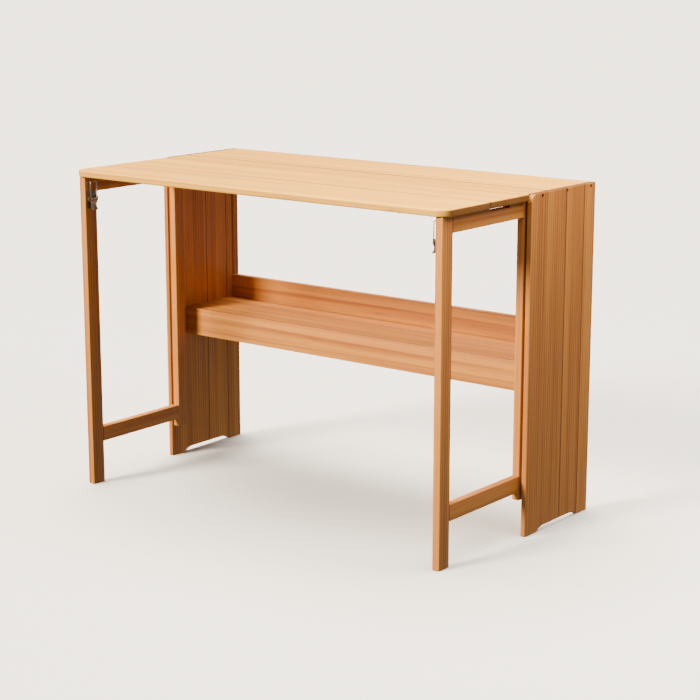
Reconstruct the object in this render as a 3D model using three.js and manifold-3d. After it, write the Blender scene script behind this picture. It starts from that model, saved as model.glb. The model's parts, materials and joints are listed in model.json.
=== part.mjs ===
// Gateleg table: two end panels, a fixed top with a front leaf, a shelf, and two hinged gates.
// Millimetres. +Z is up, the front faces -Y, and the origin is on the floor under the middle.
import * as THREE from 'three';
import { mergeVertices } from 'three/addons/utils/BufferGeometryUtils.js';
import Module from 'manifold-3d';

const wasm = await Module();
wasm.setup();

// Overall size
const tableLength = 1060;
const tableDepth = 562;
const tableHeight = 750;
const halfLength = tableLength / 2;
const backY = tableDepth / 2;
const leafFrontY = -tableDepth / 2;

// Gaps
const fitGap = 0.3; // between pieces that are fixed together
const seamGap = 1; // between the leaf and the fixed top
const gateClearance = 1; // between the gates and the leaf above them

// Boards
const panelThickness = 12;
const panelDepth = 258;
const panelFrontY = backY - panelDepth;
const panelInnerX = halfLength - panelThickness;
const panelCornerRadius = 20;
const boardThickness = 15;
const boardUndersideZ = tableHeight - boardThickness;
const leafLength = 1048;
const leafCornerRadius = 32;
const footWidth = 41;
const footArchHeight = 10;
const footArchRun = 34; // length of the curve from a foot up to the arch

// Shelf
const shelfTopZ = 373;
const apronSetback = 58;
const apronHeight = 67;
const railThickness = 15;
const backRailTopZ = 430;
const backRailFrontY = backY - 26;
const grooveWidth = 7;
const grooveDepth = 4;

// Gates
const barThickness = 18;
const barWidth = 36;
const postWidth = 30;
const gateToPanel = 6;
const gateOuterX = panelInnerX - gateToPanel;
const gateInnerX = gateOuterX - barThickness;
const gateTopZ = boardUndersideZ - gateClearance;
const legFrontY = leafFrontY + 8;
const legBackY = legFrontY + barWidth;
const postFrontY = panelFrontY;
const postBackY = postFrontY + postWidth;
const postBottomZ = 80;
const topRailHeight = 35;
const lowerRailBottomZ = 99;

// Butt hinges
const hingeLength = 50;
const hingeReach = 18; // from the pin to a plate's far edge
const plateThickness = 1.5;
const knuckleRadius = 2.9;
const knuckleCount = 5;
const pinRadius = 1.25;
const pinToWood = knuckleRadius + fitGap;
const gateHingeHeights = [160, 660];
const gatePinX = panelInnerX - pinToWood;
const gatePinY = postBackY + pinToWood;
const leafHingeInset = 137;
const leafHingePlaces = { left: -halfLength + leafHingeInset, middle: 0, right: halfLength - leafHingeInset };
const leafPinY = panelFrontY - seamGap / 2;
const leafPinZ = boardUndersideZ - pinToWood;

// Notch in a gate's top rail that lets the leaf hinge pass as the gate swings
const notchLength = 74;
const notchDepth = 6.5;
const notchFromPin = 126;

// Screws through the end panels into the fixed top
const screwFromFront = 42;
const screwSpacing = 98;
const screwRows = [0, 1, 2];
const screwZ = boardUndersideZ + boardThickness / 2;
const screwHeadRadius = 3.9;
const screwHeadHeight = 3;
const screwHeadSunk = 2.5;
const screwShankRadius = 2;
const screwBite = 32; // length of shank inside the fixed top

// Latches on the outer legs
const latchY = (legFrontY + legBackY) / 2;
const latchPinZ = 684;
const latchPinStandoff = 6.5; // from the leg's face
const latchPinRadius = 1.2;
const latchPlateWidth = 27;
const latchPlateBottomZ = 662;
const latchPlateTopZ = 700;
const earThickness = 1.5;
const leverHalfWidth = 8;
const leverKnuckleRadius = 2.4;
const loopWireRadius = 1.1;
const loopHalfWidth = 9.8;
const loopPivotDrop = 7.5;
const loopPivotStandoff = latchPinStandoff + 3;
const loopTopZ = 724;

// Colours
const palewood = new THREE.MeshStandardMaterial({ color: '#e0b27a', roughness: 0.45, metalness: 0 });
const warmwood = new THREE.MeshStandardMaterial({ color: '#c98a4e', roughness: 0.5, metalness: 0 });
const steel = new THREE.MeshStandardMaterial({ color: '#b9bcc0', roughness: 0.35, metalness: 0.9 });
const darksteel = new THREE.MeshStandardMaterial({ color: '#3a3532', roughness: 0.5, metalness: 0.8 });

const table = new THREE.Group();
table.name = 'gateleg_table';

function addPiece(name, geometry, material) {
  const mesh = new THREE.Mesh(geometry, material);
  mesh.name = name;
  table.add(mesh);
}

// Booleans

function toSolid(geometry) {
  const bare = geometry.clone();
  bare.deleteAttribute('normal');
  bare.deleteAttribute('uv');
  const welded = mergeVertices(bare, 1e-4);
  const vertProperties = new Float32Array(welded.attributes.position.array);
  const triVerts = new Uint32Array(welded.index.array);
  return new wasm.Manifold(new wasm.Mesh({ numProp: 3, vertProperties, triVerts }));
}

function toGeometry(solid) {
  const result = solid.getMesh();
  const welded = new THREE.BufferGeometry();
  welded.setAttribute('position', new THREE.BufferAttribute(result.vertProperties, 3));
  welded.setIndex(new THREE.BufferAttribute(result.triVerts, 1));
  const faceted = welded.toNonIndexed();
  faceted.computeVertexNormals();
  return faceted;
}

function join(geometries) {
  const solids = geometries.map(toSolid);
  return toGeometry(solids.reduce((whole, solid) => whole.add(solid)));
}

function cut(geometry, tools) {
  const body = toSolid(geometry);
  return toGeometry(tools.map(toSolid).reduce((rest, tool) => rest.subtract(tool), body));
}

// Shapes

// A plain box between two opposite corners, given in any order
function box(cornerA, cornerB) {
  const low = cornerA.clone().min(cornerB);
  const high = cornerA.clone().max(cornerB);
  const size = high.clone().sub(low);
  const middle = low.clone().add(high).multiplyScalar(0.5);
  return new THREE.BoxGeometry(size.x, size.y, size.z).translate(middle.x, middle.y, middle.z);
}

// A round rod between two points
function rod(start, end, radius, sides = 24) {
  const along = end.clone().sub(start);
  const turn = new THREE.Quaternion().setFromUnitVectors(new THREE.Vector3(0, 1, 0), along.clone().normalize());
  const middle = start.clone().add(end).multiplyScalar(0.5);
  const geometry = new THREE.CylinderGeometry(radius, radius, along.length(), sides);
  return geometry.applyQuaternion(turn).translate(middle.x, middle.y, middle.z);
}

// Outline of a rectangle with a radius at each corner, in the order
// low x low y, high x low y, high x high y, low x high y
function roundedRectangle(lowX, lowY, highX, highY, radii) {
  const outline = new THREE.Shape();
  outline.absarc(lowX + radii[0], lowY + radii[0], radii[0], Math.PI, Math.PI * 1.5);
  outline.absarc(highX - radii[1], lowY + radii[1], radii[1], Math.PI * 1.5, Math.PI * 2);
  outline.absarc(highX - radii[2], highY - radii[2], radii[2], 0, Math.PI / 2);
  outline.absarc(lowX + radii[3], highY - radii[3], radii[3], Math.PI / 2, Math.PI);
  return outline;
}

// A board of the outline, with its edges eased on both faces
function easedBoard(outline, thickness, ease, curveSegments = 4, easeSegments = 2) {
  return new THREE.ExtrudeGeometry(outline, {
    depth: thickness - 2 * ease,
    bevelEnabled: true,
    bevelThickness: ease,
    bevelSize: ease,
    bevelOffset: -ease,
    bevelSegments: easeSegments,
    curveSegments,
  }).translate(0, 0, ease);
}

// A straight bar of wood with eased edges, lengthways along its longest side
function easedBar(low, high, ease = 1.5) {
  const size = high.clone().sub(low);
  const radii = [ease + 0.5, ease + 0.5, ease + 0.5, ease + 0.5];
  if (size.x >= size.y && size.x >= size.z) {
    const outline = roundedRectangle(low.y, low.z, high.y, high.z, radii);
    return standAcross(easedBoard(outline, size.x, ease, 2, 2), low.x);
  }
  if (size.y >= size.z) {
    const outline = roundedRectangle(low.z, low.x, high.z, high.x, radii);
    return standForward(easedBoard(outline, size.y, ease, 2, 2), low.y);
  }
  const outline = roundedRectangle(low.x, low.y, high.x, high.y, radii);
  return easedBoard(outline, size.z, ease, 2, 2).translate(0, 0, low.z);
}

// Turns a board so that its outline is in Y and Z and its thickness runs along X from startX
function standAcross(geometry, startX) {
  const basis = new THREE.Matrix4().makeBasis(
    new THREE.Vector3(0, 1, 0),
    new THREE.Vector3(0, 0, 1),
    new THREE.Vector3(1, 0, 0),
  );
  return geometry.applyMatrix4(basis).translate(startX, 0, 0);
}

// Turns a board so that its outline is in Z and X and its thickness runs along Y from startY
function standForward(geometry, startY) {
  const basis = new THREE.Matrix4().makeBasis(
    new THREE.Vector3(0, 0, 1),
    new THREE.Vector3(1, 0, 0),
    new THREE.Vector3(0, 1, 0),
  );
  return geometry.applyMatrix4(basis).translate(0, startY, 0);
}

function point(x, y, z) {
  return new THREE.Vector3(x, y, z);
}

// End panels

function panelOutline() {
  const ease = 3;
  const archStart = panelFrontY + footWidth;
  const archEnd = backY - footWidth;
  const bulge = footArchRun * 0.4;
  const outline = new THREE.Shape();
  outline.moveTo(panelFrontY + ease, 0);
  outline.lineTo(archStart, 0);
  outline.bezierCurveTo(
    archStart + bulge * 0.6, 0,
    archStart + bulge, footArchHeight,
    archStart + footArchRun, footArchHeight,
  );
  outline.lineTo(archEnd - footArchRun, footArchHeight);
  outline.bezierCurveTo(
    archEnd - bulge, footArchHeight,
    archEnd - bulge * 0.6, 0,
    archEnd, 0,
  );
  outline.lineTo(backY - ease, 0);
  outline.absarc(backY - ease, ease, ease, Math.PI * 1.5, Math.PI * 2);
  outline.absarc(backY - ease, tableHeight - ease, ease, 0, Math.PI / 2);
  const roundY = panelFrontY + panelCornerRadius;
  const roundZ = tableHeight - panelCornerRadius;
  outline.absarc(roundY, roundZ, panelCornerRadius, Math.PI / 2, Math.PI);
  outline.absarc(panelFrontY + ease, ease, ease, Math.PI, Math.PI * 1.5);
  return outline;
}

function screwPlace(row) {
  return panelFrontY + screwFromFront + row * screwSpacing;
}

function screwHoles(side) {
  const holes = [];
  for (const row of screwRows) {
    const y = screwPlace(row);
    const outside = point(side * (halfLength + 1), y, screwZ);
    const seat = point(side * (halfLength - screwHeadSunk - screwHeadHeight - fitGap), y, screwZ);
    const inside = point(side * (panelInnerX - 1), y, screwZ);
    holes.push(rod(outside, seat, screwHeadRadius + fitGap));
    holes.push(rod(outside, inside, screwShankRadius + fitGap));
  }
  return holes;
}

function endPanel(side) {
  const startX = side > 0 ? panelInnerX : -halfLength;
  const board = standAcross(easedBoard(panelOutline(), panelThickness, 2, 8), startX);
  const groove = box(
    point(side * (panelInnerX - 1), backRailFrontY, backRailTopZ + fitGap),
    point(side * (panelInnerX + grooveDepth), backRailFrontY + grooveWidth, boardUndersideZ),
  );
  return cut(board, [...screwHoles(side), groove]);
}

function screw(side, row) {
  const y = screwPlace(row);
  const headFace = point(side * (halfLength - screwHeadSunk), y, screwZ);
  const headBack = point(side * (halfLength - screwHeadSunk - screwHeadHeight), y, screwZ);
  const tip = point(side * (panelInnerX - screwBite), y, screwZ);
  return join([rod(headFace, headBack, screwHeadRadius), rod(headFace, tip, screwShankRadius, 16)]);
}

// Top

function fixedTop() {
  const endX = panelInnerX - fitGap;
  const outline = roundedRectangle(-endX, panelFrontY, endX, backY, [1.5, 1.5, 3, 3]);
  const board = easedBoard(outline, boardThickness, 1, 3).translate(0, 0, boardUndersideZ);
  const holes = [];
  for (const side of [-1, 1]) {
    for (const row of screwRows) {
      const mouth = point(side * (endX + 1), screwPlace(row), screwZ);
      const bottom = point(side * (panelInnerX - screwBite - 2), screwPlace(row), screwZ);
      holes.push(rod(mouth, bottom, screwShankRadius + fitGap, 16));
    }
  }
  return cut(board, holes);
}

function leafBoard() {
  const endX = leafLength / 2;
  const rearY = panelFrontY - seamGap;
  const radii = [leafCornerRadius, leafCornerRadius, 4, 4];
  const outline = roundedRectangle(-endX, leafFrontY, endX, rearY, radii);
  return easedBoard(outline, boardThickness, 3, 8, 3).translate(0, 0, boardUndersideZ);
}

// Shelf

function addShelf() {
  const endX = panelInnerX - fitGap;
  const apronFrontY = panelFrontY + apronSetback;
  const apronBackY = apronFrontY + railThickness;
  const boardBottomZ = shelfTopZ - boardThickness;
  const apronLow = point(-endX, apronFrontY, shelfTopZ - apronHeight);
  addPiece('shelf_apron', easedBar(apronLow, point(endX, apronBackY, shelfTopZ)), warmwood);
  const boardLow = point(-endX, apronBackY + fitGap, boardBottomZ);
  addPiece('shelf_board', box(boardLow, point(endX, backRailFrontY - fitGap, shelfTopZ)), warmwood);
  const railLow = point(-endX, backRailFrontY, boardBottomZ);
  const railHigh = point(endX, backRailFrontY + railThickness, backRailTopZ);
  addPiece('back_rail', easedBar(railLow, railHigh), warmwood);
}

// Hinges

// One plate of a butt hinge with its knuckles. The plate leaves the pin along reachWay and lies on the
// wood that is towards woodWay; axisWay runs along the pin. First is the number of its first knuckle.
function hingePlate(pin, axisWay, reachWay, woodWay, first) {
  const place = (along, reach, wood) => pin.clone()
    .addScaledVector(axisWay, along)
    .addScaledVector(reachWay, reach)
    .addScaledVector(woodWay, wood);
  const wasteWood = knuckleRadius - plateThickness;
  const plateStart = knuckleRadius + 0.4;
  const half = hingeLength / 2;
  const parts = [box(place(-half, plateStart, wasteWood), place(half, hingeReach, knuckleRadius))];
  const pitch = hingeLength / knuckleCount;
  for (let knuckle = first; knuckle < knuckleCount; knuckle += 2) {
    const start = -half + knuckle * pitch + fitGap / 2;
    const end = start + pitch - fitGap;
    parts.push(box(place(start, 0, wasteWood), place(end, plateStart + 1, knuckleRadius)));
    parts.push(rod(place(start, 0, 0), place(end, 0, 0), knuckleRadius));
  }
  const bore = rod(place(-half - 1, 0, 0), place(half + 1, 0, 0), pinRadius + fitGap, 16);
  return cut(join(parts), [bore]);
}

function hingePin(pin, axisWay) {
  const half = hingeLength / 2;
  const start = pin.clone().addScaledVector(axisWay, -half);
  const end = pin.clone().addScaledVector(axisWay, half);
  return rod(start, end, pinRadius, 16);
}

function addLeafHinges() {
  const alongSeam = point(1, 0, 0);
  const up = point(0, 0, 1);
  for (const [place, x] of Object.entries(leafHingePlaces)) {
    const pin = point(x, leafPinY, leafPinZ);
    addPiece(`leaf_hinge_${place}_top_plate`, hingePlate(pin, alongSeam, point(0, 1, 0), up, 0), steel);
    addPiece(`leaf_hinge_${place}_leaf_plate`, hingePlate(pin, alongSeam, point(0, -1, 0), up, 1), steel);
    addPiece(`leaf_hinge_${place}_pin`, hingePin(pin, alongSeam), steel);
  }
}

function addGateHinges(sideName, side) {
  const upright = point(0, 0, 1);
  gateHingeHeights.forEach((height, index) => {
    const level = ['lower', 'upper'][index];
    const pin = point(side * gatePinX, gatePinY, height);
    const panelPlate = hingePlate(pin, upright, point(0, 1, 0), point(side, 0, 0), 0);
    const postPlate = hingePlate(pin, upright, point(-side, 0, 0), point(0, -1, 0), 1);
    addPiece(`${sideName}_${level}_hinge_panel_plate`, panelPlate, steel);
    addPiece(`${sideName}_${level}_hinge_post_plate`, postPlate, steel);
    addPiece(`${sideName}_${level}_hinge_pin`, hingePin(pin, upright), steel);
  });
}

// Gates

function gateBar(side, lowY, lowZ, highY, highZ) {
  const faces = [side * gateInnerX, side * gateOuterX];
  const lowX = Math.min(...faces);
  const highX = Math.max(...faces);
  return easedBar(point(lowX, lowY, lowZ), point(highX, highY, highZ));
}

function topRail(side) {
  const bar = gateBar(side, legBackY + fitGap, gateTopZ - topRailHeight, postFrontY - fitGap, gateTopZ);
  const notchMiddleY = gatePinY - notchFromPin;
  const low = point(side * (gateInnerX - 1), notchMiddleY - notchLength / 2, gateTopZ - notchDepth);
  const high = point(side * (gateOuterX + 1), notchMiddleY + notchLength / 2, gateTopZ + 1);
  return cut(bar, [box(low, high)]);
}

function addGate(sideName, side) {
  const lowerRailTopZ = lowerRailBottomZ + barWidth;
  const railStartY = legBackY + fitGap;
  const railEndY = postFrontY - fitGap;
  addPiece(`${sideName}_outer_leg`, gateBar(side, legFrontY, 0, legBackY, gateTopZ), palewood);
  addPiece(`${sideName}_inner_post`, gateBar(side, postFrontY, postBottomZ, postBackY, gateTopZ), palewood);
  addPiece(`${sideName}_top_rail`, topRail(side), warmwood);
  addPiece(
    `${sideName}_lower_rail`,
    gateBar(side, railStartY, lowerRailBottomZ, railEndY, lowerRailTopZ),
    warmwood,
  );
}

// Latches

// A point at a distance from the leg's inner face, a distance sideways from the latch's middle, and a height
function latchPoint(side, standoff, sideways, z) {
  return point(side * (gateInnerX - standoff), latchY + sideways, z);
}

function latchBase(side) {
  const half = latchPlateWidth / 2;
  const backStandoff = fitGap;
  const frontStandoff = backStandoff + earThickness;
  const parts = [box(
    latchPoint(side, backStandoff, -half, latchPlateBottomZ),
    latchPoint(side, frontStandoff, half, latchPlateTopZ),
  )];
  for (const way of [-1, 1]) {
    parts.push(box(
      latchPoint(side, backStandoff, way * half, latchPinZ - 5),
      latchPoint(side, latchPinStandoff + 3, way * (half - earThickness), latchPinZ + 5),
    ));
  }
  const pinHole = rod(
    latchPoint(side, latchPinStandoff, -half - 1, latchPinZ),
    latchPoint(side, latchPinStandoff, half + 1, latchPinZ),
    latchPinRadius + fitGap,
    16,
  );
  return cut(join(parts), [pinHole]);
}

function latchPin(side) {
  const half = latchPlateWidth / 2 + 2.5;
  const start = latchPoint(side, latchPinStandoff, -half, latchPinZ);
  return rod(start, latchPoint(side, latchPinStandoff, half, latchPinZ), latchPinRadius, 16);
}

// The lever hangs from the pin, carries the wire loop's ends part way down, and flares out at its foot
function latchLever(side) {
  const loopZ = latchPinZ - loopPivotDrop;
  const bladeBack = loopPivotStandoff - 0.8;
  const bladeFront = loopPivotStandoff + 0.8;
  const profile = new THREE.Shape();
  profile.moveTo(latchPinStandoff, latchPinZ + leverKnuckleRadius * 0.7);
  profile.lineTo(latchPinStandoff, latchPinZ - leverKnuckleRadius * 0.7);
  profile.lineTo(bladeBack, loopZ);
  profile.lineTo(bladeBack, latchPlateBottomZ + 3);
  profile.lineTo(bladeBack + 5, latchPlateBottomZ - 4);
  profile.lineTo(bladeFront + 5.4, latchPlateBottomZ - 3.4);
  profile.lineTo(bladeFront, latchPlateBottomZ + 4);
  profile.lineTo(bladeFront, loopZ + 1);
  profile.closePath();
  const blade = new THREE.ExtrudeGeometry(profile, { depth: 2 * leverHalfWidth, bevelEnabled: false });
  // Outline x is the distance from the leg's face, outline y is height, and the depth runs sideways
  const basis = new THREE.Matrix4().makeBasis(point(-side, 0, 0), point(0, 0, 1), point(0, side, 0));
  blade.applyMatrix4(basis);
  blade.translate(side * gateInnerX, latchY - side * leverHalfWidth, 0);
  const across = (standoff, z, radius) => rod(
    latchPoint(side, standoff, -leverHalfWidth, z),
    latchPoint(side, standoff, leverHalfWidth, z),
    radius,
  );
  const body = join([
    blade,
    across(latchPinStandoff, latchPinZ, leverKnuckleRadius),
    across(loopPivotStandoff, loopZ, loopWireRadius + 1.2),
  ]);
  const holes = [
    [latchPinStandoff, latchPinZ, latchPinRadius + fitGap],
    [loopPivotStandoff, loopZ, loopWireRadius + fitGap],
  ];
  return cut(body, holes.map(([standoff, z, radius]) => rod(
    latchPoint(side, standoff, -leverHalfWidth - 1, z),
    latchPoint(side, standoff, leverHalfWidth + 1, z),
    radius,
    16,
  )));
}

// A closed wire loop: a straight bar through the lever, two sides and a rounded top
function latchLoop(side) {
  const loopZ = latchPinZ - loopPivotDrop;
  const path = new THREE.CurvePath();
  const corner = 4;
  const place = (sideways, z) => latchPoint(side, loopPivotStandoff, sideways, z);
  const outline = [
    [-loopHalfWidth, loopZ],
    [-loopHalfWidth, loopTopZ],
    [loopHalfWidth, loopTopZ],
    [loopHalfWidth, loopZ],
  ];
  const riseStart = place(...outline[0]);
  const leftBend = place(-loopHalfWidth, loopTopZ - corner);
  const leftTop = place(-loopHalfWidth + corner, loopTopZ);
  const rightTop = place(loopHalfWidth - corner, loopTopZ);
  const rightBend = place(loopHalfWidth, loopTopZ - corner);
  path.add(new THREE.LineCurve3(riseStart, leftBend));
  path.add(new THREE.QuadraticBezierCurve3(leftBend, place(...outline[1]), leftTop));
  path.add(new THREE.LineCurve3(leftTop, rightTop));
  path.add(new THREE.QuadraticBezierCurve3(rightTop, place(...outline[2]), rightBend));
  path.add(new THREE.LineCurve3(rightBend, place(...outline[3])));
  const wireOutline = new THREE.Shape();
  wireOutline.absarc(0, 0, loopWireRadius, 0, Math.PI * 2);
  const arch = new THREE.ExtrudeGeometry(wireOutline, { steps: 60, curveSegments: 6, extrudePath: path });
  const bar = rod(
    place(-loopHalfWidth - loopWireRadius * 0.5, loopZ),
    place(loopHalfWidth + loopWireRadius * 0.5, loopZ),
    loopWireRadius,
    12,
  );
  return join([arch, bar]);
}

function addLatch(sideName, side) {
  addPiece(`${sideName}_latch_base`, latchBase(side), steel);
  addPiece(`${sideName}_latch_pin`, latchPin(side), steel);
  addPiece(`${sideName}_latch_lever`, latchLever(side), steel);
  addPiece(`${sideName}_latch_loop`, latchLoop(side), steel);
}

addPiece('fixed_top', fixedTop(), palewood);
addPiece('leaf', leafBoard(), palewood);
addShelf();
addLeafHinges();
for (const [sideName, side] of [['left', -1], ['right', 1]]) {
  addPiece(`${sideName}_end_panel`, endPanel(side), warmwood);
  for (const row of screwRows) {
    addPiece(`${sideName}_screw_${['front', 'middle', 'rear'][row]}`, screw(side, row), darksteel);
  }
  addGate(sideName, side);
  addGateHinges(sideName, side);
  addLatch(sideName, side);
}

export default table;
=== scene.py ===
import json
import math

import bmesh
import bpy
from mathutils import Matrix, Vector


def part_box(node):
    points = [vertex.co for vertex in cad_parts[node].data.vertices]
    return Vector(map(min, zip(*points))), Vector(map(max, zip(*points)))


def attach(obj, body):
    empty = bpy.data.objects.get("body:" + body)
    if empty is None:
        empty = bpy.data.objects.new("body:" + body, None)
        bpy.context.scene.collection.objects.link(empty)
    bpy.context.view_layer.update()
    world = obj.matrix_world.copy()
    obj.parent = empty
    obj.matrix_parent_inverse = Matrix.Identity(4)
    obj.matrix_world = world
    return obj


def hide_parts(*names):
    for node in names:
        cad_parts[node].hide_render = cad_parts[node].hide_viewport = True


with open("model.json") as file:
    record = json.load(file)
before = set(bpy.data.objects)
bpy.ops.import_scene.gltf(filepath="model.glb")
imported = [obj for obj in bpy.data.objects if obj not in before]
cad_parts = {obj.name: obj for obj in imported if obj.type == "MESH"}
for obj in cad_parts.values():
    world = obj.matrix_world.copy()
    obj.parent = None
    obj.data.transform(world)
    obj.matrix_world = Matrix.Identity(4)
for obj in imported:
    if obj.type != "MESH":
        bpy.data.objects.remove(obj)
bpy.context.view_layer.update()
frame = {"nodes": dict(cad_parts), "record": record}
print("frame loaded")

sides = {"left": -1, "right": 1}  # the way that each side faces along X
tolerance = 0.000001  # points closer than this are level with each other, in metres


# nodes and colours

# An sRGB hex colour as linear light
def toLinear(hexColour):
    channels = [int(hexColour[i:i + 2], 16) / 255 for i in (1, 3, 5)]
    return [c / 12.92 if c <= 0.04045 else ((c + 0.055) / 1.055) ** 2.4 for c in channels] + [1]


# Each input is a number, a colour or the output that feeds it
def addNode(tree, kind, inputs=None, **settings):
    node = tree.nodes.new(kind)
    for name, value in settings.items():
        setattr(node, name, value)
    for socket, source in (inputs or {}).items():
        if isinstance(source, bpy.types.NodeSocket):
            tree.links.new(source, node.inputs[socket])
        else:
            node.inputs[socket].default_value = source
    return node


def newMaterial(name):
    material = bpy.data.materials.new(name)
    material.use_nodes = True
    material.node_tree.nodes.clear()
    return material, material.node_tree


# wood

pineHeart = {
    "early": "#dd9440",  # pale wood laid down in spring
    "late": "#8e4a22",  # darker line that ends each ring
    "pore": "#4a240e",  # fine resin streaks, and the ends
    "seam": "#2c1408",  # glue line between planks
    "contrast": 1.0,
}
# The same pine as pineHeart, made paler and yellower for the top and leaf: painted light, standing in for
# the light that falls on the top from above
pineWithPaintedLight = {
    "early": "#f0b43c",
    "late": "#c4822c",
    "pore": "#5e3012",
    "seam": "#351806",
    "contrast": 1.15,
}
woodFilm = {"roughness": (0.38, 0.52), "bump": 0.14, "bumpDepth": 0.0004}
plankTone = (0.88, 1.07)  # how dark and how pale a plank may come out
seamFade = (0.35, 0.65)  # where a drawn seam starts and ends its fade, as shares of its width
# The turn that lays each direction of the grain along X
grainTurns = {"x": (0, 0, 0), "y": (0, 0, -math.pi / 2), "z": (0, math.pi / 2, 0)}
# Real pine has narrower rings, which would be too fine to show
grainRings = {"spacing": 0.0075, "along": 0.03, "start": 0.35, "share": 0.30}
# Spacings are in metres, and a small "along" stretches a layer down the grain. They are coarser
# than real fibres, which would be too fine to show.
# The pores add nothing to the sum, because they darken the wood on their own
grainLayers = {
    "figure": {"spacing": 0.020, "along": 0.03, "range": (0.34, 0.66), "share": 0.40},
    "streak": {"spacing": 0.0055, "along": 0.012, "range": (0.40, 0.66), "share": 0.24},
    "fibre": {"spacing": 0.0016, "along": 0.012, "range": (0.35, 0.68), "share": 0.14},
    "pore": {"spacing": 0.0016, "along": 0.035, "range": (0.60, 0.74), "share": 0.0},
}
poreStrength = 0.35
# How far a board's seed, a layer's number and a plank's number move the grain, in metres
grainShift = {"seed": (1.37, 0.229, 0.131), "layer": 2, "plank": (0.83, 0.071, 0.037)}
waveSpacing = 0.314  # from line to line in the wave texture at a scale of 1
noiseSpacing = 0.5  # about the width of a streak or patch in the noise texture at a scale of 1


# Counts the seams passed on the way across, and draws a line at each
def plankEdges(tree, across, seams, width):
    plank, line = 0, 0
    for seam in seams:
        offset = addNode(tree, "ShaderNodeMath", {0: across, 1: seam}, operation="SUBTRACT").outputs[0]
        passed = addNode(tree, "ShaderNodeMath", {0: offset, 1: 0}, operation="GREATER_THAN").outputs[0]
        distance = addNode(tree, "ShaderNodeMath", {0: offset}, operation="ABSOLUTE").outputs[0]
        drawn = addNode(
            tree, "ShaderNodeMapRange",
            {"Value": distance, "From Min": width * seamFade[0], "From Max": width * seamFade[1],
             "To Min": 1.0, "To Max": 0.0},
        ).outputs[0]
        plank = addNode(tree, "ShaderNodeMath", {0: plank, 1: passed}, operation="ADD").outputs[0]
        line = addNode(tree, "ShaderNodeMath", {0: line, 1: drawn}, operation="MAXIMUM").outputs[0]
    return plank, line


# How dark each layer of the grain is, and their sum over the ring lines
def grainPattern(tree, look, place, seed):
    startX, startY, startZ = [seed * step for step in grainShift["seed"]]
    flow = addNode(
        tree, "ShaderNodeMapping",
        {"Vector": place, "Scale": (grainRings["along"], 1, 1), "Location": (startX, startY, 0)},
    ).outputs[0]
    rings = addNode(
        tree, "ShaderNodeTexWave",
        {"Vector": flow, "Scale": waveSpacing / grainRings["spacing"], "Distortion": 6.0, "Detail": 2.0,
         "Detail Scale": 0.35, "Detail Roughness": 0.5},
        wave_type="RINGS", rings_direction="X", wave_profile="SAW",
    ).outputs["Fac"]
    total = addNode(
        tree, "ShaderNodeMapRange",
        {"Value": rings, "From Min": grainRings["start"], "To Max": grainRings["share"] * look["contrast"]},
    ).outputs[0]
    parts = {}
    for number, (name, layer) in enumerate(grainLayers.items()):
        stretched = addNode(
            tree, "ShaderNodeMapping",
            {"Vector": place, "Scale": (layer["along"], 1, 1),
             "Location": (startX + number * grainShift["layer"], startY, startZ)},
        ).outputs[0]
        noise = addNode(
            tree, "ShaderNodeTexNoise",
            {"Vector": stretched, "Scale": noiseSpacing / layer["spacing"], "Detail": 3, "Roughness": 0.6},
        ).outputs["Fac"]
        parts[name] = addNode(
            tree, "ShaderNodeMapRange",
            {"Value": noise, "From Min": layer["range"][0], "From Max": layer["range"][1]},
        ).outputs[0]
        total = addNode(
            tree, "ShaderNodeMath", {0: parts[name], 1: layer["share"] * look["contrast"], 2: total},
            operation="MULTIPLY_ADD",
        ).outputs[0]
    return parts, total


# Pale wood shading to late wood as the sum rises, with the pores drawn over it
def grainColour(tree, look, parts, total):
    late = addNode(tree, "ShaderNodeMapRange", {"Value": total, "From Min": 0.06}).outputs[0]
    poreShare = addNode(
        tree, "ShaderNodeMath", {0: parts["pore"], 1: poreStrength * look["contrast"]},
        operation="MULTIPLY",
    ).outputs[0]
    wood = addNode(
        tree, "ShaderNodeMix", {"Factor": late, "A": toLinear(look["early"]), "B": toLinear(look["late"])},
        data_type="RGBA",
    ).outputs["Result"]
    return addNode(
        tree, "ShaderNodeMix", {"Factor": poreShare, "A": wood, "B": toLinear(look["pore"])},
        data_type="RGBA",
    ).outputs["Result"]


# How far a face looks along the grain, so that only the ends go dark
def endGrain(tree, normal, turn):
    facing = addNode(
        tree, "ShaderNodeMapping", {"Vector": normal, "Rotation": turn}, vector_type="NORMAL",
    ).outputs[0]
    along = addNode(tree, "ShaderNodeSeparateXYZ", {0: facing}).outputs["X"]
    lengthwise = addNode(tree, "ShaderNodeMath", {0: along}, operation="ABSOLUTE").outputs[0]
    return addNode(
        tree, "ShaderNodeMapRange",
        {"Value": lengthwise, "From Min": 0.7, "From Max": 0.95, "To Max": 0.85},
    ).outputs[0]


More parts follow.
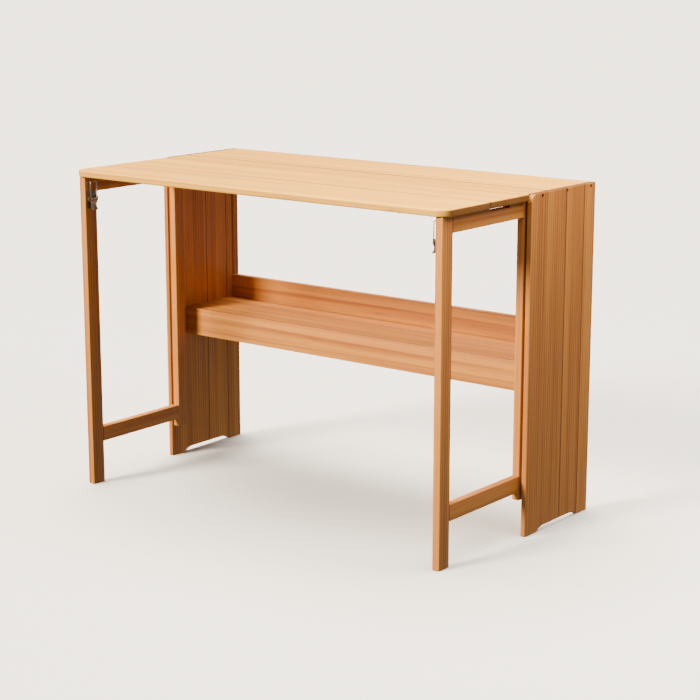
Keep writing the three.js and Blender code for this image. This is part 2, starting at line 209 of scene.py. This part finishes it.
# Glued-up pine planks, planed, sanded and lacquered: straight streaky grain, dark glue lines,
# a satin film, and ends that have drunk the lacquer and gone darker
def lacqueredPine(name, look, grain, seed, seams=(), seamWidth=0.001):
    material, tree = newMaterial(name)
    coordinates = addNode(tree, "ShaderNodeTexCoord").outputs
    turn = grainTurns[grain]
    place = addNode(
        tree, "ShaderNodeMapping", {"Vector": coordinates["Object"], "Rotation": turn},
    ).outputs[0]
    across = addNode(tree, "ShaderNodeSeparateXYZ", {0: place}).outputs["Y"]
    plank, line = plankEdges(tree, across, seams, seamWidth)
    shift = addNode(tree, "ShaderNodeCombineXYZ", {"X": plank, "Y": plank, "Z": plank}).outputs[0]
    plankPlace = addNode(
        tree, "ShaderNodeVectorMath", {0: shift, 1: grainShift["plank"], 2: place},
        operation="MULTIPLY_ADD",
    ).outputs[0]
    parts, total = grainPattern(tree, look, plankPlace, seed)
    luckSeed = addNode(tree, "ShaderNodeMath", {0: plank, 1: seed}, operation="ADD").outputs[0]
    luck = addNode(tree, "ShaderNodeTexWhiteNoise", {"W": luckSeed}, noise_dimensions="1D").outputs["Value"]
    value = addNode(
        tree, "ShaderNodeMapRange", {"Value": luck, "To Min": plankTone[0], "To Max": plankTone[1]},
    ).outputs[0]
    toned = addNode(
        tree, "ShaderNodeHueSaturation", {"Color": grainColour(tree, look, parts, total), "Value": value},
    ).outputs["Color"]
    glued = addNode(
        tree, "ShaderNodeMix", {"Factor": line, "A": toned, "B": toLinear(look["seam"])}, data_type="RGBA",
    ).outputs["Result"]
    colour = addNode(
        tree, "ShaderNodeMix",
        {"Factor": endGrain(tree, coordinates["Normal"], turn), "A": glued, "B": toLinear(look["pore"])},
        data_type="RGBA",
    ).outputs["Result"]
    height = addNode(tree, "ShaderNodeMath", {0: parts["fibre"], 1: line}, operation="MAXIMUM").outputs[0]
    roughness = addNode(
        tree, "ShaderNodeMapRange",
        {"Value": parts["fibre"], "To Min": woodFilm["roughness"][0], "To Max": woodFilm["roughness"][1]},
    ).outputs[0]
    bump = addNode(
        tree, "ShaderNodeBump",
        {"Height": height, "Strength": woodFilm["bump"], "Distance": woodFilm["bumpDepth"]}, invert=True,
    ).outputs[0]
    surface = addNode(
        tree, "ShaderNodeBsdfPrincipled",
        {"Base Color": colour, "Roughness": roughness, "Normal": bump, "IOR": 1.45,
         "Specular IOR Level": 0.35, "Coat Weight": 0.10, "Coat Roughness": 0.22},
    ).outputs["BSDF"]
    addNode(tree, "ShaderNodeOutputMaterial", {"Surface": surface})
    return material


# metal

# Cloud and scratch sizes are in metres, and real draw lines are finer than these
plated = {"light": "#dddad2", "dull": "#a09a8f", "cloud": 0.0016, "scratch": 0.0005}
bronzed = {"light": "#a08c74", "dull": "#66543f", "cloud": 0.0016, "scratch": 0.0005}
browned = {"light": "#3d342c", "dull": "#16110e", "cloud": 0.0012, "scratch": 0.0005}


# Pressed steel, zinc plated, bronzed or browned: a soft cloudy shine with fine upright draw lines
def finishedSteel(name, look):
    material, tree = newMaterial(name)
    place = addNode(tree, "ShaderNodeTexCoord").outputs["Object"]
    cloud = addNode(
        tree, "ShaderNodeTexNoise",
        {"Vector": place, "Scale": noiseSpacing / look["cloud"], "Detail": 3, "Roughness": 0.6},
    ).outputs["Fac"]
    upright = addNode(tree, "ShaderNodeMapping", {"Vector": place, "Scale": (1, 1, 0.06)}).outputs[0]
    scratch = addNode(
        tree, "ShaderNodeTexNoise",
        {"Vector": upright, "Scale": noiseSpacing / look["scratch"], "Detail": 2},
    ).outputs["Fac"]
    share = addNode(
        tree, "ShaderNodeMapRange", {"Value": cloud, "From Min": 0.35, "From Max": 0.65},
    ).outputs[0]
    colour = addNode(
        tree, "ShaderNodeMix",
        {"Factor": share, "A": toLinear(look["light"]), "B": toLinear(look["dull"])}, data_type="RGBA",
    ).outputs["Result"]
    roughness = addNode(
        tree, "ShaderNodeMapRange",
        {"Value": scratch, "From Min": 0.3, "From Max": 0.7, "To Min": 0.24, "To Max": 0.44},
    ).outputs[0]
    bump = addNode(
        tree, "ShaderNodeBump", {"Height": scratch, "Strength": 0.2, "Distance": 0.0001},
    ).outputs[0]
    surface = addNode(
        tree, "ShaderNodeBsdfPrincipled",
        {"Base Color": colour, "Metallic": 1.0, "Roughness": roughness, "Normal": bump},
    ).outputs["BSDF"]
    addNode(tree, "ShaderNodeOutputMaterial", {"Surface": surface})
    return material


# shaping

def toObject(mesh, name, material, smoothAngle=35):
    data = bpy.data.meshes.new(name)
    mesh.to_mesh(data)
    mesh.free()
    piece = bpy.data.objects.new(name, data)
    bpy.context.scene.collection.objects.link(piece)
    data.materials.append(material)
    data.shade_smooth()
    data.set_sharp_from_angle(angle=math.radians(smoothAngle))
    return piece


def standFor(piece, body, *nodes):
    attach(piece, body)
    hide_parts(*nodes)


def roundOver(mesh, edges, size, segments=3):
    bmesh.ops.bevel(
        mesh, geom=edges, offset=size, offset_type="OFFSET", affect="EDGES", segments=segments, profile=0.5,
        material=-1, clamp_overlap=True,
    )


# A plain board as large as a CAD node's box
def boardMesh(node):
    low, high = [Vector(corner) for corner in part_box(node)]
    mesh = bmesh.new()
    bmesh.ops.create_cube(mesh, size=1)
    bmesh.ops.scale(mesh, vec=high - low, verts=mesh.verts)
    bmesh.ops.translate(mesh, vec=(low + high) / 2, verts=mesh.verts)
    return mesh


weld = {"distance": 0.00001, "flatAngle": 0.5}


# A copy of a CAD node, welded into one skin
def weldedCopy(node):
    mesh = bmesh.new()
    mesh.from_mesh(frame["nodes"][node].data)
    bmesh.ops.remove_doubles(mesh, verts=mesh.verts, dist=weld["distance"])
    bmesh.ops.dissolve_limit(
        mesh, angle_limit=math.radians(weld["flatAngle"]), verts=mesh.verts, edges=mesh.edges)
    bmesh.ops.recalc_face_normals(mesh, faces=mesh.faces)
    return mesh


seamAngle = 14  # less than the slope of a seam's V, so the wide faces beside it shade flat


# A shallow V down both wide faces of a board where two planks meet
def cutSeams(mesh, look, thickness):
    for seam in look["seams"]:
        for offset in (-look["seamWidth"] / 2, look["seamWidth"] / 2, 0):
            bmesh.ops.bisect_plane(
                mesh, geom=mesh.verts[:] + mesh.edges[:] + mesh.faces[:], dist=tolerance,
                plane_co=(0, seam + offset, 0), plane_no=(0, 1, 0),
            )
        mesh.normal_update()
        for vert in mesh.verts:
            onWideFace = abs(vert.normal.dot(thickness)) > 0.99
            if abs(vert.co.y - seam) < 2 * tolerance and onWideFace:
                vert.co -= vert.normal * look["seamDepth"]


# top

# Seams here and in the end panels are drawn wider than real glue lines, which are too fine to show
fixedTop = {"seams": [0.098], "seamWidth": 0.0050, "seamDepth": 0.0008, "ease": 0.001, "seed": 1.0}
leaf = {
    "seams": [-0.122], "seamWidth": 0.0036, "seamDepth": 0.0006, "corner": 0.032, "cornerSegments": 14,
    "ease": 0.003, "easeSegments": 8, "seed": 2.0,
}


def makeFixedTop():
    mesh = boardMesh("fixed_top")
    roundOver(mesh, mesh.edges[:], fixedTop["ease"])
    cutSeams(mesh, fixedTop, Vector((0, 0, 1)))
    # The top takes the paler pine, whose colour paints in the light falling on it from above
    material = lacqueredPine(
        "lacqueredPineTop", pineWithPaintedLight, "x", fixedTop["seed"], fixedTop["seams"], fixedTop["seamWidth"])
    standFor(toObject(mesh, "fixedTopBoard", material, seamAngle), "frame", "fixed_top")


def isUpright(edge):
    return abs(edge.verts[0].co.z - edge.verts[1].co.z) > tolerance


# The two front corners are rounded first, then the rims of both wide faces
def makeLeaf():
    mesh = boardMesh("leaf")
    corners = [edge for edge in mesh.edges if isUpright(edge) and edge.verts[0].co.y < 0]
    roundOver(mesh, corners, leaf["corner"], leaf["cornerSegments"])
    rims = [edge for edge in mesh.edges if not isUpright(edge) and edge.calc_face_angle(0) > 1]
    roundOver(mesh, rims, leaf["ease"], leaf["easeSegments"])
    cutSeams(mesh, leaf, Vector((0, 0, 1)))
    # The leaf takes the paler pine too, painted as lit from above
    material = lacqueredPine(
        "lacqueredPineLeaf", pineWithPaintedLight, "x", leaf["seed"], leaf["seams"], leaf["seamWidth"])
    standFor(toObject(mesh, "leafBoard", material, seamAngle), "leaf_board", "leaf")


# carcass

endPanels = {
    "seams": [0.161, 0.234], "seamWidth": 0.0020, "seamDepth": 0.0005,
    "seeds": {"left": 3.3, "right": 4.0},
}
shelfPieces = {"ease": 0.0012, "seeds": {"shelf_apron": 5.0, "shelf_board": 6.0, "back_rail": 7.0}}


def makePanels():
    for side in sides:
        mesh = weldedCopy(side + "_end_panel")
        cutSeams(mesh, endPanels, Vector((1, 0, 0)))
        material = lacqueredPine(
            "lacqueredPinePanel." + side, pineHeart, "z", endPanels["seeds"][side], endPanels["seams"],
            endPanels["seamWidth"])
        standFor(toObject(mesh, side + "PanelBoard", material, seamAngle), "frame", side + "_end_panel")


def makeShelf():
    for node, seed in shelfPieces["seeds"].items():
        mesh = boardMesh(node)
        roundOver(mesh, mesh.edges[:], shelfPieces["ease"])
        material = lacqueredPine("lacqueredPine." + node, pineHeart, "x", seed)
        standFor(toObject(mesh, node + ".board", material), "frame", node)


# gates

gateBars = {
    "outer_leg": {"grain": "z", "seed": 8.0},
    "inner_post": {"grain": "z", "seed": 9.4},
    "lower_rail": {"grain": "y", "seed": 10.0},
    "top_rail": {"grain": "y", "seed": 11.0},
}
gates = {"ease": 0.0018, "seedShift": 0.3}


def makeGates():
    for side, sign in sides.items():
        for bar, settings in gateBars.items():
            node = side + "_" + bar
            seed = settings["seed"] + sign * gates["seedShift"]
            if bar == "top_rail":  # its notch comes from the CAD node
                mesh = weldedCopy(node)
            else:
                mesh = boardMesh(node)
                roundOver(mesh, mesh.edges[:], gates["ease"])
            material = lacqueredPine("lacqueredPine." + node, pineHeart, settings["grain"], seed)
            standFor(toObject(mesh, node + ".bar", material), side + "_gate", node)


# screws through the panels into the top

screw = {
    "headRadius": 0.0039, "headHeight": 0.003, "headSegments": 36, "rim": 0.0005, "shankRadius": 0.002,
    "socketRadius": 0.0021, "socketDepth": 0.0019, "socketSides": 6,
}


def ringOfEdges(mesh, radius, segments, depth):
    circle = bmesh.ops.create_circle(
        mesh, radius=radius, segments=segments, matrix=Matrix.Translation((0, 0, -depth)))
    return list({edge for vert in circle["verts"] for edge in vert.link_edges})


# Face up at the origin: a hex socket in a round head, then the shank
def screwMesh(length):
    mesh = bmesh.new()
    socket = ringOfEdges(mesh, screw["socketRadius"], screw["socketSides"], 0)
    bottom = ringOfEdges(mesh, screw["socketRadius"], screw["socketSides"], screw["socketDepth"])
    outer = [
        ringOfEdges(mesh, radius, screw["headSegments"], depth) for radius, depth in (
            (screw["headRadius"] - screw["rim"], 0),
            (screw["headRadius"], screw["rim"]),
            (screw["headRadius"], screw["headHeight"]),
            (screw["shankRadius"], screw["headHeight"]),
            (screw["shankRadius"], length),
        )
    ]
    loops = [bottom, socket] + outer
    for first, second in zip(loops, loops[1:]):
        bmesh.ops.bridge_loops(mesh, edges=first + second)
    bmesh.ops.edgeloop_fill(mesh, edges=bottom)
    bmesh.ops.edgeloop_fill(mesh, edges=outer[-1])
    return mesh


def makeScrews():
    material = finishedSteel("brownedSteel", browned)
    for side, sign in sides.items():
        for row in ("front", "middle", "rear"):
            node = side + "_screw_" + row
            low, high = [Vector(corner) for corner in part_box(node)]
            mesh = screwMesh(high.x - low.x)
            outwards = Matrix.Rotation(math.radians(90 * sign), 3, "Y")
            bmesh.ops.rotate(mesh, matrix=outwards, verts=mesh.verts)
            headFace = Vector(((high if sign > 0 else low).x, (low.y + high.y) / 2, (low.z + high.z) / 2))
            bmesh.ops.translate(mesh, vec=headFace, verts=mesh.verts)
            bmesh.ops.recalc_face_normals(mesh, faces=mesh.faces)
            standFor(toObject(mesh, side + "Screw." + row, material), "frame", node)


# hinges and latches

metalSmoothAngle = 40


# Each hinge or latch piece rides the body that holds its CAD node
def makeMetal():
    bright = finishedSteel("zincPlatedSteel", plated)
    dark = finishedSteel("bronzedSteel", bronzed)
    for body, nodes in frame["record"]["behaviour"]["bodies"].items():
        for node in nodes:
            if "hinge" in node or "latch" in node:
                material = dark if node.endswith("latch_base") else bright
                metal = toObject(weldedCopy(node), node + ".metal", material, metalSmoothAngle)
                standFor(metal, body, node)


# surroundings

# Places and sizes are in metres, angles in degrees, and the lens and sensor in millimetres
camera = {
    "place": (2.5851, -3.2119, 1.2768), "tilt": 77.306, "turn": 38.109, "lens": 94.746, "sensor": 36,
    "farthest": 200,
}
suns = {
    "frontSun": {"from": (-0.30, -0.81, 0.50), "angle": 18, "strength": 9.5, "colour": "#fff0d8"},
    "topSun": {"from": (-0.20, 0.10, 0.97), "angle": 50, "strength": 10.0, "colour": "#fff3e0"},
}
sideBox = {
    "place": (1.05, 0.1, 1.5), "aim": (0.53, 0.12, 0.62), "size": 0.6, "power": 19, "colour": "#fff0de",
}
floorLook = {"colour": "#e6e6e5", "patch": "#ececeb", "size": 120}
skyLook = {"colour": "#ffffff", "strength": 0.30}


def makeCamera():
    data = bpy.data.cameras.new("camera")
    data.lens = camera["lens"]
    data.sensor_width = camera["sensor"]
    data.clip_end = camera["farthest"]
    eye = bpy.data.objects.new("camera", data)
    eye.location = camera["place"]
    eye.rotation_euler = (math.radians(camera["tilt"]), 0, math.radians(camera["turn"]))
    bpy.context.scene.collection.objects.link(eye)
    bpy.context.scene.camera = eye


def addLight(name, kind, power, colour):
    data = bpy.data.lights.new(name, kind)
    data.energy = power
    data.color = toLinear(colour)[:3]
    light = bpy.data.objects.new(name, data)
    bpy.context.scene.collection.objects.link(light)
    return light


def makeLamps():
    for name, sun in suns.items():
        light = addLight(name, "SUN", sun["strength"], sun["colour"])
        light.data.angle = math.radians(sun["angle"])
        light.rotation_euler = Vector(sun["from"]).to_track_quat("Z", "Y").to_euler()
    light = addLight("sideBox", "AREA", sideBox["power"], sideBox["colour"])
    light.data.size = sideBox["size"]
    light.visible_camera = False
    light.location = sideBox["place"]
    aim = Vector(sideBox["place"]) - Vector(sideBox["aim"])
    light.rotation_euler = aim.to_track_quat("Z", "Y").to_euler()


def makeFloor():
    mesh = bmesh.new()
    bmesh.ops.create_grid(mesh, x_segments=1, y_segments=1, size=floorLook["size"] / 2)
    material, tree = newMaterial("paintedFloor")
    patches = addNode(tree, "ShaderNodeTexNoise", {"Scale": 2, "Detail": 2}).outputs["Fac"]
    colour = addNode(
        tree, "ShaderNodeMix",
        {"Factor": patches, "A": toLinear(floorLook["colour"]), "B": toLinear(floorLook["patch"])},
        data_type="RGBA",
    ).outputs["Result"]
    surface = addNode(
        tree, "ShaderNodeBsdfPrincipled",
        {"Base Color": colour, "Roughness": 0.9, "Specular IOR Level": 0.1},
    ).outputs["BSDF"]
    addNode(tree, "ShaderNodeOutputMaterial", {"Surface": surface})
    floor = toObject(mesh, "floor", material)
    floor.visible_diffuse = False  # a pale floor would light the table from below
    floor.visible_glossy = False  # and its reflection would wash the wood out


def makeSky():
    world = bpy.data.worlds.new("studio")
    world.use_nodes = True
    backdrop = world.node_tree.nodes["Background"]
    backdrop.inputs["Color"].default_value = toLinear(skyLook["colour"])
    backdrop.inputs["Strength"].default_value = skyLook["strength"]
    bpy.context.scene.world = world


makeCamera()
makeLamps()
makeSky()
makeFloor()
print("camera, lamps and floor made")
makeFixedTop()
makeLeaf()
makePanels()
makeShelf()
makeGates()
print("wood made")
makeScrews()
makeMetal()
print("metal made")
